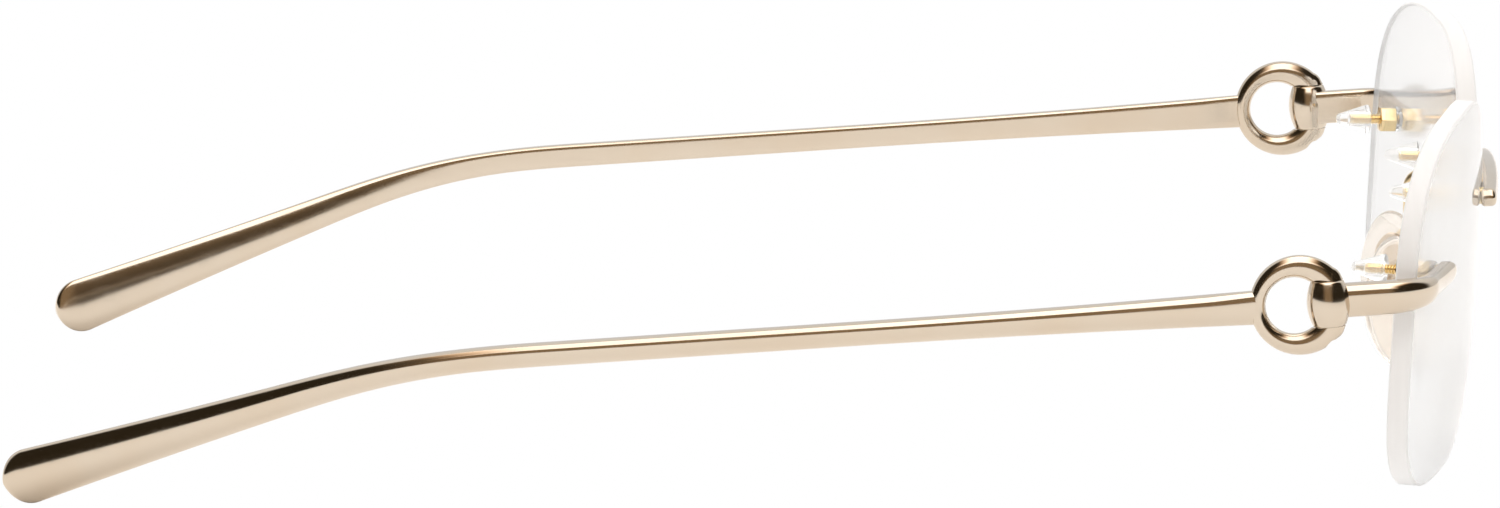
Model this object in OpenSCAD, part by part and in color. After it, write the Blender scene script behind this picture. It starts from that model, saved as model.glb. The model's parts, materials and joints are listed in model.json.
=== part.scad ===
// Rimless eyeglasses with ring hinges, resting folded open on the lens bottoms and the temple tips.
// +X is the wearer's left, the lenses face -Y, the temples run back along +Y, +Z is up.

/* [Lenses] */
// Width of one lens
lens_w = 55; // [48:0.5:60]
// Height of one lens
lens_h = 37.2; // [32:0.2:42]
// Thickness of a lens
lens_t = 2.2; // [1.6:0.1:3]
// Squareness of the lens outline's upper half, 2 is an ellipse
square_top = 2.8; // [2.2:0.1:5]
// Squareness of the lower quarter towards the temple
square_outer = 3.6; // [2.2:0.1:5]
// Squareness of the lower quarter towards the nose
square_inner = 2.2; // [2:0.1:4]
// Radius of the lens's front curve
lens_curve_r = 260; // [120:5:500]
// Gap between the two lenses
lens_gap = 17; // [14:0.5:22]
// Height of the hinge line above the middle of the lens
lens_drop = 4.65; // [3:0.05:7]
// How far the middle of the lens front lies ahead of the hinge axes
lens_ahead = 13.9; // [13:0.1:16]
// Forward lean of the lens when worn
lens_lean = 7; // [4:0.5:11]
// Backward wrap of each lens towards its temple
lens_wrap = 8.4; // [5:0.2:11]

/* [Hinge and ring] */
// Distance of each hinge axis outside its lens's temple edge
hinge_out = 3.5; // [3:0.1:7]
// Diameter of the ring's eye
eye_d = 5.8; // [4.8:0.1:6.4]
// Outer diameter of the ring
ring_d = 10.3; // [9.4:0.1:11.5]
// Thickness of the ring
ring_t = 2; // [1.6:0.1:2.4]
// Distance from the hinge axis back to the middle of the eye
eye_back = 3.5; // [3.2:0.1:3.9]
// Wall of the ring left between its eye and the arm's end
eye_wall = 0.5; // [0.4:0.05:0.8]
// How far the ring's outside is shifted towards the hinge
ring_shift = 0.6; // [0.4:0.05:0.8]
// Height of the hinge barrel
barrel_h = 4.7; // [4:0.1:5.2]
// Diameter of the barrel at its middle
barrel_d = 4.4; // [3.8:0.1:4.8]
// Diameter of the barrel at its ends
barrel_end_d = 3.3; // [3:0.1:3.6]
// Diameter of the ring's two knuckles
knuckle_d = 3.1; // [2.8:0.1:3.3]
// Height of each knuckle
knuckle_h = 1.4; // [1.2:0.1:1.8]
// Radius of the knuckles' rounded edges
knuckle_edge_r = 0.9; // [0.3:0.05:1.1]
// Clearance of the ring's slot round the barrel
slot_gap = 0.3; // [0.2:0.05:0.4]
// End play between the barrel and each knuckle
hinge_play = 0.05; // [0.02:0.01:0.1]
// Diameter of the headless hinge screw
hinge_screw_d = 1.2; // [1:0.1:1.4]
// Width of the slot in the hinge screw's lower end
hinge_slot_w = 0.25; // [0.2:0.05:0.4]
// Depth of the slot in the hinge screw's lower end
hinge_slot_h = 0.4; // [0.3:0.05:0.6]
// Length of the hinge screw's thread in the upper knuckle
hinge_bite = 1; // [0.8:0.05:1.2]
// Radial running clearance on the hinge and pad screws
run_gap = 0.03; // [0.02:0.01:0.08]

/* [Temples] */
// Length of a temple along its curve, from the hinge axis
temple_len = 140; // [130:1:150]
// Height of the arm at the hinge
root_h = 3.9; // [3.4:0.1:4.4]
// Height of the arm's slim middle
mid_h = 2.45; // [2.2:0.05:3.2]
// Height of the tip
tip_h = 5.7; // [4.5:0.1:7]
// Thickness of the arm
arm_t = 2.2; // [1.8:0.1:2.6]
// Thickness of the arm where it runs into the ring
root_t = 1.6; // [1.4:0.1:1.8]
// Length over which the arm thickens behind the ring
root_len = 6; // [4:0.5:10]
// Length of the taper from the hinge
taper_len = 50; // [40:1:60]
// Length of the widening to the tip
flare_len = 52; // [40:1:58]
// Distance from the hinge to the bend over the ear
bend_dist = 79; // [70:1:86]
// Length of the bend over the ear
bend_len = 30; // [22:1:36]
// Downward angle of the bend
bend_down = 14.8; // [8:0.2:18]
// Inward angle of the bend
bend_in = 16.6; // [6:0.2:18]

/* [End pieces] */
// Height of the end piece's bar
bar_h = 3.5; // [3.2:0.1:4]
// Thickness of the bar
bar_t = 2.4; // [2:0.1:2.8]
// How far the bar lies inside the hinge axis
bar_inset = 1; // [0.6:0.1:1.2]
// Radius of the bar's bend round the lens edge
bar_bend_r = 4.8; // [4.2:0.1:5.2]
// Height of the foot at its end
foot_h = 2.4; // [1.8:0.1:3]
// Thickness of the foot at its end
foot_t = 1.7; // [1.4:0.1:2]
// Length of foot past the stud's axis
foot_over = 1.5; // [1.3:0.1:2.4]

/* [Lens fixings] */
// Distance of the outer stud from the lens's temple edge
outer_stud_in = 10.9; // [9:0.1:13]
// Height of the outer studs above the hinge line
outer_stud_up = 0; // [-0.6:0.1:0.8]
// Distance of the inner stud from the lens's nose edge
inner_stud_in = 4.5; // [4:0.25:6]
// Height of the inner studs above the hinge line
inner_stud_up = 1.5; // [0.5:0.1:2.5]
// Diameter of a stud's thread
stud_d = 1.2; // [1:0.1:1.4]
// Length of thread past the nut
stud_past = 3.3; // [2.8:0.1:4]
// Diameter of a stud's shoulder in front of the lens
shoulder_d = 1.8; // [1.7:0.1:2.1]
// Height of a stud's shoulder
shoulder_h = 0.35; // [0.3:0.05:0.7]
// Diameter of the spigot that fixes a stud in the foot or bridge
spigot_d = 1; // [0.8:0.05:1.1]
// Depth of the spigot's hole
spigot_l = 0.7; // [0.5:0.05:0.9]
// Depth of the spot face that a shoulder seats in
spot_h = 0.15; // [0.1:0.05:0.25]
// Outer diameter of a bush's sleeve, which fills the lens hole
bush_d = 1.55; // [1.5:0.05:1.65]
// Diameter of a bush's flange
flange_d = 2.7; // [2.4:0.1:3]
// Thickness of a bush's flange
flange_t = 0.3; // [0.2:0.05:0.5]
// Width of a nut across its flats
nut_af = 2.5; // [2.2:0.1:2.8]
// Length of a nut
nut_h = 1.7; // [1.4:0.1:2]
// Bare thread between a nut and its cap
cap_gap = 1.2; // [0.8:0.1:1.6]
// Length of a cap
cap_l = 3.6; // [3.2:0.1:4.4]
// Diameter of a cap's open end
cap_d = 3.1; // [2.6:0.1:3.4]
// Diameter of a cap's rounded tip
cap_tip_d = 1.3; // [1:0.1:1.6]

/* [Bridge] */
// Height of the bridge bar
bridge_h = 1.9; // [1.7:0.1:2.6]
// Depth of the bridge bar from front to back
bridge_t = 1.5; // [1.4:0.1:2.2]
// Length of bridge past each stud's axis
bridge_over = 1.5; // [1.3:0.1:2.5]
// How far the middle of the bridge bows forward
bridge_bow = 0.4; // [0.2:0.1:1.2]
// How far the middle of the bridge arches up
bridge_arch = 0.5; // [0:0.1:2]

/* [Nose pads] */
// Height of a pad
pad_h = 14.2; // [12:0.2:17]
// Width of a pad
pad_w = 7.8; // [7:0.2:9]
// Thickness of a pad at its middle
pad_t = 2.6; // [2.2:0.1:3.2]
// Thickness of a pad at its rim
pad_rim_t = 1.2; // [1:0.1:1.5]
// Distance from the middle plane to the middle of a pad's back
pad_out = 11; // [10:0.25:13]
// How far the pads lie ahead of the hinge axes
pad_ahead = 8.1; // [6.5:0.1:9]
// How far the middle of the pads lies below the hinge line
pad_drop = 9.5; // [8:0.1:11]
// Angle by which the pads open backwards
pad_splay = 25; // [15:1:30]
// Angle by which the pads open downwards
pad_flare = 16; // [10:1:22]
// Angle by which a pad's top leans forwards
pad_lean = 5.5; // [0:0.5:10]
// How far the core plate and the pad screw lie above the pad's middle
core_up = 1.6; // [0:0.2:3]
// Height of the core plate in a pad
core_h = 6; // [5:0.5:8]
// Width of the core plate
core_w = 4.2; // [3:0.1:4.6]
// Thickness of the core plate
core_t = 0.5; // [0.4:0.05:0.6]
// Depth of pad behind the core plate
core_cover = 0.35; // [0.3:0.05:0.5]
// Thickness of the core's tab along the pad screw
tab_t = 1; // [0.8:0.1:1.2]
// Width of the core's tab
tab_w = 1.9; // [1.7:0.1:2.2]
// Distance of the pad screw from the back of the pad
tab_l = 1.6; // [1.4:0.1:2]
// Thickness of the pad box's cheeks and floor
box_wall = 0.5; // [0.4:0.05:0.6]
// Side play between the tab and the box
box_play = 0.08; // [0.05:0.01:0.12]
// Diameter of the pad screw
pad_screw_d = 0.9; // [0.8:0.05:1]
// Diameter of the pad screw's head
pad_head_d = 1.4; // [1.2:0.05:1.6]
// Height of the pad screw's head
pad_head_h = 0.35; // [0.25:0.05:0.5]
// Diameter of the pad arm's wire
wire_d = 1; // [0.8:0.05:1.2]
// Diameter of the arm's eyelet
eyelet_d = 2.9; // [2.7:0.1:3.2]
// Thickness of the eyelet
eyelet_t = 0.6; // [0.5:0.05:0.8]
// Diameter of the eyelet's end, round the wire
eyelet_end_d = 1.5; // [1.3:0.1:1.8]
// Distance of the wire from the stud's axis
wire_reach = 2.3; // [2.2:0.05:2.6]
// Angle by which the wire lies below the stud, on its nose side
wire_fall = 35; // [20:1:50]
// How far the arm's wire runs back from the eyelet before it turns down
arm_swing = 4.4; // [3.2:0.1:5]
// Radius of the wire's bend
wire_bend_r = 1.6; // [1.2:0.1:2]

/* [Hidden] */
$fn = 64;
gold = "#d9b98a";
clear = [0.92, 0.95, 0.97, 0.35];
hinge_x = lens_gap / 2 + lens_w + hinge_out;
hinge_half = barrel_h / 2 + hinge_play;
knuckle_top = hinge_half + knuckle_h;
lens_x = lens_gap / 2 + lens_w / 2;
tip_r = tip_h / 2;
// Share of a D section's thickness that is domed, how far the dome's crest lies above the middle as a share
// of half the height, and how flat the inner side is
dome = 0.6;
crest = 0.3;
flatness = 1 / 3;
section_n = 20;
// Radius of the eye's rounded wall against that of the ring's rim
lip = 1.05;
// Exponent of the bridge's rounded section
oval_power = 0.7;
// How much narrower the top of a pad is than its bottom
egg_share = 0.12;
// How slowly a rounded end loses thickness against height
end_fade = 0.35;
// Exponents of the arm's taper from the hinge and of its flare to the tip
taper_bend = 2;
flare_bend = 1.55;
seat = 0.01;
// A cutter reaches this far past the surface that it cuts
past = 1;

function clip(x) = min(max(x, 0), 1);
function ease(x) = let (c = clip(x)) c * c * (3 - 2 * c);
function turn_x(p, a) = [p.x, p.y * cos(a) - p.z * sin(a), p.y * sin(a) + p.z * cos(a)];
function turn_y(p, a) = [p.x * cos(a) + p.z * sin(a), p.y, p.z * cos(a) - p.x * sin(a)];
function turn_z(p, a) = [p.x * cos(a) - p.y * sin(a), p.x * sin(a) + p.y * cos(a), p.z];

// Lens coordinates: u across, v up, w forward from the front curve's middle
lens_at = [lens_x, -lens_ahead, -lens_drop];
function lens_beta(v) = asin(v / lens_curve_r);
function lens_alpha(u, v) = asin(u / (lens_curve_r * cos(lens_beta(v))));
function lens_world(p) = turn_z(turn_x([p.x, -p.z, p.y], lens_lean), lens_wrap) + lens_at;
function on_lens(u, v, w) = let (a = lens_alpha(u, v), b = lens_beta(v), r = lens_curve_r + w)
    lens_world([r * cos(b) * sin(a), r * sin(b), r * cos(b) * cos(a) - lens_curve_r]);
function lens_rim(a) = let (n = sin(a) >= 0 ? square_top : cos(a) >= 0 ? square_outer : square_inner)
    [sign(cos(a)) * lens_w / 2 * pow(abs(cos(a)), 2 / n),
     sign(sin(a)) * lens_h / 2 * pow(abs(sin(a)), 2 / n)];
outer_stud = [lens_w / 2 - outer_stud_in, lens_drop + outer_stud_up];
inner_stud = [inner_stud_in - lens_w / 2, lens_drop + inner_stud_up];

// D section in a plane across the path: o points outwards, z up
function d_section(h, t) = [
    for (i = [0 : section_n - 1]) let (a = 360 * i / section_n, c = cos(a), s = sin(a))
        c >= 0 ? [dome * t * c, h / 2 * (s + crest * c * c)]
               : [-(1 - dome) * t * pow(-c, flatness), sign(s) * h / 2 * pow(abs(s), flatness)]
];
function oval(h, t) = [
    for (i = [0 : section_n - 1]) let (a = 360 * i / section_n)
        [t / 2 * sign(cos(a)) * pow(abs(cos(a)), oval_power),
         h / 2 * sign(sin(a)) * pow(abs(sin(a)), oval_power)]
];
function sweep_section(at, o, up, pts) = [for (p = pts) at + p.x * o + p.y * up];

// Temple: the arm's heading, centre line and height by distance s from the hinge axis
arm_from = eye_back + eye_d / 2 + eye_wall;
arm_steps = 44;
arm_ds = (temple_len - arm_from) / arm_steps;
function arm_turn(s) = ease((s - bend_dist) / bend_len);
function arm_dir(s) = let (t = arm_turn(s)) turn_z(turn_x([0, 1, 0], -bend_down * t), bend_in * t);
function arm_out(s) = turn_z([1, 0, 0], bend_in * arm_turn(s));
arm_line = [
    for (i = 0, p = [hinge_x, arm_from, 0]; i <= arm_steps;
         p = p + arm_ds * arm_dir(arm_from + (i + 0.5) * arm_ds), i = i + 1) p
];
function arm_full_h(s) = mid_h + (root_h - mid_h) * pow(clip(1 - s / taper_len), taper_bend)
    + (tip_h - mid_h) * pow(clip((s - temple_len + flare_len) / (flare_len - tip_r)), flare_bend);
// Share of full size left at s in an end that is rounded over radius r
function round_end(s, end, r) = sqrt(max(1 - pow(clip((s - (end - r)) / r), 2), 0.0025));
// Stations crowd towards the rounded tip
tip_stations = [0, 0.3, 0.55, 0.75, 0.88, 0.96, 1];
function arm_point(s) = let (f = (s - arm_from) / arm_ds, i = min(floor(f), arm_steps - 1))
    arm_line[i] + (f - i) * (arm_line[i + 1] - arm_line[i]);
arm_body_n = 40;
arm_s = concat(
    [for (i = [0 : arm_body_n - 1]) arm_from + (temple_len - tip_r - arm_from) * i / arm_body_n],
    [for (k = tip_stations) temple_len - tip_r + tip_r * k]
);
function arm_full_t(s) = root_t + (arm_t - root_t) * ease((s - arm_from) / root_len);
function arm_section(s) = let (k = round_end(s, temple_len, tip_r))
    sweep_section(arm_point(s), arm_out(s), cross(arm_out(s), arm_dir(s)),
                  d_section(arm_full_h(s) * k, arm_full_t(s) * pow(k, end_fade)));
arm_sections = [for (s = arm_s) arm_section(s)];

// End piece: straight bar, bend of bar_bend_r, straight foot along the lens front to past the outer stud
bar_x = hinge_x - bar_inset;
foot_mid = on_lens(outer_stud.x, outer_stud.y, shoulder_h - spot_h + (1 - dome) * foot_t);
foot_run = on_lens(outer_stud.x + 1, outer_stud.y, 0) - on_lens(outer_stud.x - 1, outer_stud.y, 0);
foot_slant = atan(foot_run.y / foot_run.x);
bar_turn = 90 - foot_slant;
foot_reach = (bar_x - bar_bend_r * (1 - cos(bar_turn)) - foot_mid.x) / cos(foot_slant);
bar_y = foot_mid.y + bar_bend_r * sin(bar_turn) + foot_reach * sin(foot_slant);
bar_from = barrel_end_d / 4;
bar_straight = -bar_y - bar_from;
bend_l = bar_bend_r * PI / 180 * bar_turn;
foot_l = foot_reach + foot_over;
bar_l = bar_straight + bend_l + foot_l;
function bar_angle(s) = bar_turn * clip((s - bar_straight) / bend_l);
function bar_taper(s) = ease((s - bar_straight) / (bend_l + foot_reach / 2));
function bar_point(s) = let (a = bar_angle(s), run = max(s - bar_straight - bend_l, 0))
    [bar_x - bar_bend_r * (1 - cos(a)) - run * cos(foot_slant),
     max(-bar_from - s, bar_y) - bar_bend_r * sin(a) - run * sin(foot_slant), foot_mid.z * bar_taper(s)];
function bar_full_h(s) = bar_h + (foot_h - bar_h) * bar_taper(s);
function bar_full_t(s) = bar_t + (foot_t - bar_t) * bar_taper(s);
function bar_section(s) = let (a = bar_angle(s), k = round_end(s, bar_l, foot_h / 2))
    sweep_section(bar_point(s), [cos(a), -sin(a), 0], [0, 0, 1],
                  d_section(bar_full_h(s) * k, bar_full_t(s) * pow(k, end_fade)));
bar_s = concat(
    [for (i = [0 : 2]) bar_straight * i / 3],
    [for (i = [0 : 11]) bar_straight + bend_l * i / 12],
    [for (i = [0 : 4]) bar_straight + bend_l + (foot_l - foot_h / 2) * i / 5],
    [for (k = tip_stations) bar_l - foot_h / 2 * (1 - k)]
);
bar_sections = [for (s = bar_s) bar_section(s)];

// Bridge: a bowed bar across both inner studs
bridge_end = on_lens(inner_stud.x, inner_stud.y, shoulder_h - spot_h + bridge_t / 2);
bridge_half = bridge_end.x + bridge_over;
function bridge_rise(x) = 1 - pow(x / bridge_end.x, 2);
function bridge_point(x) = let (rise = bridge_rise(x))
    [x, bridge_end.y - bridge_bow * rise, bridge_end.z + bridge_arch * rise];
function bridge_section(x) = let (k = round_end(abs(x), bridge_half, bridge_h / 2),
                                  a = atan(2 * bridge_bow * x / pow(bridge_end.x, 2)))
    sweep_section(bridge_point(x), turn_z([0, -1, 0], a), [0, 0, 1],
                  oval(bridge_h * k, bridge_t * pow(k, end_fade)));
bridge_body_n = 18;
bridge_flat = bridge_half - bridge_h / 2;
bridge_x = concat(
    [for (i = [len(tip_stations) - 1 : -1 : 1]) -bridge_flat - bridge_h / 2 * tip_stations[i]],
    [for (i = [0 : bridge_body_n]) bridge_flat * (2 * i / bridge_body_n - 1)],
    [for (i = [1 : len(tip_stations) - 1]) bridge_flat + bridge_h / 2 * tip_stations[i]]
);
bridge_sections = [for (x = bridge_x) bridge_section(x)];

// Rest on a flat floor: the tilt at which the lens bottoms and the temple tips are equally low
function rest_y(p, t) = p.y * cos(t) + p.z * sin(t);
function rest_z(p, t) = p.z * cos(t) - p.y * sin(t);
function rim_depth(p, r) = sqrt(r * r - p.x * p.x - p.y * p.y) - lens_curve_r;
lens_low_points = [
    for (a = [200 : 4 : 340], r = [lens_curve_r, lens_curve_r - lens_t])
        let (p = lens_rim(a)) lens_world([p.x, p.y, rim_depth(p, r)])
];
tip_points = [for (i = [arm_body_n - 6 : len(arm_sections) - 1], p = arm_sections[i]) p];
function lowest(pts, t) = min([for (p = pts) rest_z(p, t)]);
function level(lo, hi, n) = let (t = (lo + hi) / 2)
    n == 0 ? t
           : lowest(lens_low_points, t) < lowest(tip_points, t) ? level(t, hi, n - 1) : level(lo, t, n - 1);
tilt_most = 12;
tilt_halvings = 24;
rest_tilt = level(0, tilt_most, tilt_halvings);
rest_up = -lowest(lens_low_points, rest_tilt);
rest_front = min([for (s = bridge_sections, p = s) rest_y(p, rest_tilt)]);
rest_back = max([for (p = tip_points) rest_y(p, rest_tilt)]);

module stand() translate([0, -(rest_front + rest_back) / 2, rest_up])
    rotate([-rest_tilt, 0, 0]) children();
module right_hand() mirror([1, 0, 0]) children();
module in_lens_frame() translate(lens_at)
    rotate([0, 0, lens_wrap]) rotate([lens_lean, 0, 0]) rotate([90, 0, 0]) children();
// Axis of a stud: z = 0 on the lens front, +z forwards
module at_stud(stud) in_lens_frame() translate([0, 0, -lens_curve_r])
    rotate([-lens_beta(stud.y), lens_alpha(stud.x, stud.y), 0]) translate([0, 0, lens_curve_r]) children();

// Solid through a row of closed sections, each with the same number of points
module loft(sections, flip = false) {
    n = len(sections[0]);
    last = len(sections) - 1;
    points = [for (s = sections, p = s) p];
    sides = [
        for (i = [0 : last - 1], j = [0 : n - 1])
            let (a = i * n + j, b = i * n + (j + 1) % n, c = b + n, d = a + n)
            each [[a, b, c], [a, c, d]]
    ];
    ends = [[for (j = [n - 1 : -1 : 0]) j], [for (j = [0 : n - 1]) last * n + j]];
    faces = concat(sides, ends);
    polyhedron(points, flip ? [for (f = faces) [for (k = [len(f) - 1 : -1 : 0]) f[k]]] : faces);
}

module lens() color(clear) difference() {
    in_lens_frame() intersection() {
        translate([0, 0, -lens_h]) linear_extrude(2 * lens_h)
            polygon([for (a = [0 : 4 : 356]) lens_rim(a)]);
        translate([0, 0, -lens_curve_r]) difference() {
            sphere(lens_curve_r, $fn = 400);
            sphere(lens_curve_r - lens_t, $fn = 400);
        }
    }
    for (stud = [outer_stud, inner_stud])
        at_stud(stud) translate([0, 0, -lens_t - past]) cylinder(d = bush_d, h = lens_t + 2 * past);
}

module at_hinge() translate([hinge_x, 0, 0]) children();

module ring_body() {
    outer_r = ring_d / 2;
    round_r = ring_t / 2;
    cut_r = round_r * lip;
    difference() {
        translate([hinge_x, eye_back - ring_shift, 0]) rotate([0, 90, 0]) rotate_extrude() {
            translate([0, -round_r]) square([outer_r - round_r, ring_t]);
            intersection() {
                translate([outer_r - round_r, 0]) circle(round_r);
                translate([0, -ring_t]) square([ring_d, 2 * ring_t]);
            }
        }
        translate([hinge_x, eye_back, 0]) rotate([0, 90, 0]) rotate_extrude() difference() {
            translate([0, -ring_t]) square([eye_d / 2 + cut_r, 2 * ring_t]);
            translate([eye_d / 2 + cut_r, 0]) circle(cut_r);
        }
    }
}

module knuckle_post() {
    edge_r = knuckle_edge_r;
    rotate_extrude() {
        translate([0, -knuckle_top]) square([knuckle_d / 2 - edge_r, 2 * knuckle_top]);
        translate([0, edge_r - knuckle_top]) square([knuckle_d / 2, 2 * (knuckle_top - edge_r)]);
        for (z = [edge_r - knuckle_top, knuckle_top - edge_r])
            translate([knuckle_d / 2 - edge_r, z]) circle(edge_r);
    }
}

module temple() color(gold) {
    slot_r = barrel_d / 2 + slot_gap;
    difference() {
        union() {
            ring_body();
            at_hinge() knuckle_post();
        }
        at_hinge() cylinder(r = slot_r, h = 2 * hinge_half, center = true);
        at_hinge() pin(knuckle_top + past);
    }
    loft(arm_sections);
}

// The screw goes in from below, through the ring's rim and the lower knuckle, and ends inside the upper one
module pin(depth) translate([0, 0, -depth]) cylinder(d = hinge_screw_d, h = depth + hinge_half + hinge_bite);

module hinge_screw() color(gold) at_hinge() difference() {
    pin(knuckle_top);
    translate([0, 0, -knuckle_top]) cube([hinge_slot_w, 2 * hinge_screw_d, 2 * hinge_slot_h], center = true);
}

module barrel() {
    bulge = (barrel_d - barrel_end_d) / 2;
    arc_r = (pow(barrel_h / 2, 2) + bulge * bulge) / (2 * bulge);
    rotate_extrude() intersection() {
        translate([barrel_d / 2 - arc_r, 0]) circle(arc_r, $fn = 128);
        translate([0, -barrel_h / 2]) square([barrel_d, barrel_h]);
    }
}

module stud_seat(stud) at_stud(stud) {
    cylinder(d = shoulder_d, h = shoulder_h);
    cylinder(d = spigot_d, h = shoulder_h + spigot_l);
}

module end_piece() color(gold) difference() {
    union() {
        loft(bar_sections, true);
        at_hinge() barrel();
    }
    at_hinge() cylinder(d = hinge_screw_d + 2 * run_gap, h = barrel_h + 2 * past, center = true);
    stud_seat(outer_stud);
}

module bridge() color(gold) difference() {
    loft(bridge_sections);
    stud_seat(inner_stud);
    right_hand() stud_seat(inner_stud);
}

// What is clamped behind the lens at each stud, besides the bush's flange
outer_stack = lens_t + seat + flange_t;
inner_stack = outer_stack + eyelet_t;

module stud(stud, stack) color(gold) {
    thread_l = stack + nut_h + stud_past;
    stud_seat(stud);
    at_stud(stud) translate([0, 0, -thread_l]) cylinder(d = stud_d, h = thread_l);
}

module bush(stud) color(clear) at_stud(stud) difference() {
    union() {
        translate([0, 0, -lens_t - seat]) cylinder(d = bush_d, h = lens_t + seat);
        translate([0, 0, -outer_stack]) cylinder(d = flange_d, h = flange_t);
    }
    translate([0, 0, -outer_stack - past]) cylinder(d = stud_d, h = outer_stack + 2 * past);
}

module nut(stud, stack) color(gold) at_stud(stud) translate([0, 0, -stack - nut_h]) difference() {
    cylinder(d = nut_af / cos(30), h = nut_h, $fn = 6);
    translate([0, 0, -past]) cylinder(d = stud_d, h = nut_h + 2 * past);
}

module cap(stud, stack) color(clear) at_stud(stud)
    translate([0, 0, -stack - nut_h - cap_gap]) rotate([180, 0, 0]) difference() {
        tip = cap_tip_d / 2;
        rotate_extrude() polygon(concat(
            [[0, 0], [cap_d / 2, 0]],
            [for (a = [0 : 18 : 90]) [tip * cos(a), cap_l - tip + tip * sin(a)]]
        ));
        translate([0, 0, -past]) cylinder(d = stud_d, h = stud_past - cap_gap + past);
    }

// Pad coordinates: x forwards, y up, z towards the nose from the middle of the pad's back
pad_at = [pad_out, -pad_ahead, -pad_drop];
function pad_world(p) = let (q = turn_z(p, -pad_lean))
    turn_z(turn_y([-q.z, -q.x, q.y], -pad_flare), -pad_splay) + pad_at;
module in_pad_frame() translate(pad_at) rotate([0, 0, -pad_splay]) rotate([0, -pad_flare, 0])
    rotate([90, 0, -90]) rotate([0, 0, -pad_lean]) children();

function egg(w, h) = [for (a = [0 : 9 : 351]) [w / 2 * sin(a) * (1 - egg_share * cos(a)), h / 2 * cos(a)]];

module pad_body() {
    sag = pad_t - pad_rim_t;
    dome_r = (pad_h * pad_h / 4 + sag * sag) / (2 * sag);
    intersection() {
        linear_extrude(pad_t + past) polygon(egg(pad_w, pad_h));
        translate([0, 0, pad_t - dome_r]) sphere(dome_r, $fn = 160);
    }
}

// Lug of thickness t round the pad screw, straight from z = low to z = high
module lug(t, low, high) rotate([90, 0, 90]) linear_extrude(t, center = true) {
    circle(d = tab_w);
    translate([-tab_w / 2, low]) square([tab_w, high - low]);
}

module core_body() translate([0, core_up, 0]) {
    translate([0, 0, core_cover]) linear_extrude(core_t) polygon(egg(core_w, core_h));
    translate([0, 0, -tab_l]) lug(tab_t, 0, tab_l + core_cover + core_t / 2);
}

module at_pad_screw() in_pad_frame() translate([0, core_up, -tab_l]) rotate([0, 90, 0]) children();

module nose_pad() color(clear) in_pad_frame() difference() {
    pad_body();
    core_body();
}

module pad_core() color(gold) difference() {
    in_pad_frame() core_body();
    at_pad_screw() cylinder(d = pad_screw_d + 2 * run_gap, h = tab_t + 2 * past, center = true);
}

box_in = tab_t + 2 * box_play;
box_out = box_in + 2 * box_wall;
box_deep = tab_w / 2 + box_play;

module pad_screw_shape() {
    cylinder(d = pad_screw_d, h = box_out, center = true);
    translate([0, 0, box_out / 2 - seat]) cylinder(d = pad_head_d, h = pad_head_h + seat);
}

module pad_screw() color(gold) at_pad_screw() pad_screw_shape();

module in_pad_box() in_pad_frame() translate([0, core_up, -tab_l]) children();

// Wire of the pad arm: back from the eyelet, round one bend and down to the floor of the pad box
wire_off = wire_reach * [-cos(wire_fall), -sin(wire_fall)];
wire_a = on_lens(inner_stud.x + wire_off.x, inner_stud.y + wire_off.y, -outer_stack - eyelet_t / 2);
wire_end = pad_world([0, core_up, -tab_l - box_deep - box_wall / 2]);
wire_corner = wire_a + [0, arm_swing, 0];
leg_in = [0, 1, 0];
leg_out = (wire_end - wire_corner) / norm(wire_end - wire_corner);
wire_turn = acos(leg_in * leg_out);
wire_side = cross(leg_in, leg_out) / sin(wire_turn);
wire_inward = cross(wire_side, leg_in);
wire_bend_at = wire_corner - wire_bend_r * tan(wire_turn / 2) * leg_in;
wire_n = 10;
wire_sides = 12;
function wire_section(at, dir) = [
    for (i = [0 : wire_sides - 1]) let (a = 360 * i / wire_sides)
        at + wire_d / 2 * (cos(a) * wire_side + sin(a) * cross(dir, wire_side))
];
wire_sections = concat(
    [wire_section(wire_a, leg_in)],
    [for (i = [0 : wire_n]) let (a = wire_turn * i / wire_n)
        wire_section(wire_bend_at + wire_bend_r * (sin(a) * leg_in + (1 - cos(a)) * wire_inward),
                     cos(a) * leg_in + sin(a) * wire_inward)],
    [wire_section(wire_end, leg_out)]
);

// The slot for the tab is cut through the box and the end of the wire alike
module pad_arm() color(gold) difference() {
    union() {
        at_stud(inner_stud) translate([0, 0, -inner_stack]) linear_extrude(eyelet_t) hull() {
            circle(d = eyelet_d);
            translate(wire_off) circle(d = eyelet_end_d);
        }
        loft(wire_sections, true);
        in_pad_box() lug(box_out, -box_deep - box_wall, 0);
    }
    at_stud(inner_stud) translate([0, 0, -inner_stack - past])
        cylinder(d = stud_d, h = eyelet_t + 2 * past);
    in_pad_box() translate([-box_in / 2, -tab_w, -box_deep]) cube([box_in, 2 * tab_w, 2 * tab_w]);
    at_pad_screw() pad_screw_shape();
}

stand() right_hand() lens();  // lens_right
stand() lens();  // lens_left
stand() right_hand() end_piece();  // end_piece_right
stand() end_piece();  // end_piece_left
stand() right_hand() temple();  // temple_right
stand() temple();  // temple_left
stand() right_hand() hinge_screw();  // hinge_screw_right
stand() hinge_screw();  // hinge_screw_left
stand() right_hand() stud(outer_stud, outer_stack);  // outer_stud_right
stand() stud(outer_stud, outer_stack);  // outer_stud_left
stand() right_hand() stud(inner_stud, inner_stack);  // inner_stud_right
stand() stud(inner_stud, inner_stack);  // inner_stud_left
stand() right_hand() bush(outer_stud);  // outer_bush_right
stand() bush(outer_stud);  // outer_bush_left
stand() right_hand() bush(inner_stud);  // inner_bush_right
stand() bush(inner_stud);  // inner_bush_left
stand() right_hand() nut(outer_stud, outer_stack);  // outer_nut_right
stand() nut(outer_stud, outer_stack);  // outer_nut_left
stand() right_hand() nut(inner_stud, inner_stack);  // inner_nut_right
stand() nut(inner_stud, inner_stack);  // inner_nut_left
stand() right_hand() cap(outer_stud, outer_stack);  // outer_cap_right
stand() cap(outer_stud, outer_stack);  // outer_cap_left
stand() right_hand() cap(inner_stud, inner_stack);  // inner_cap_right
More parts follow.
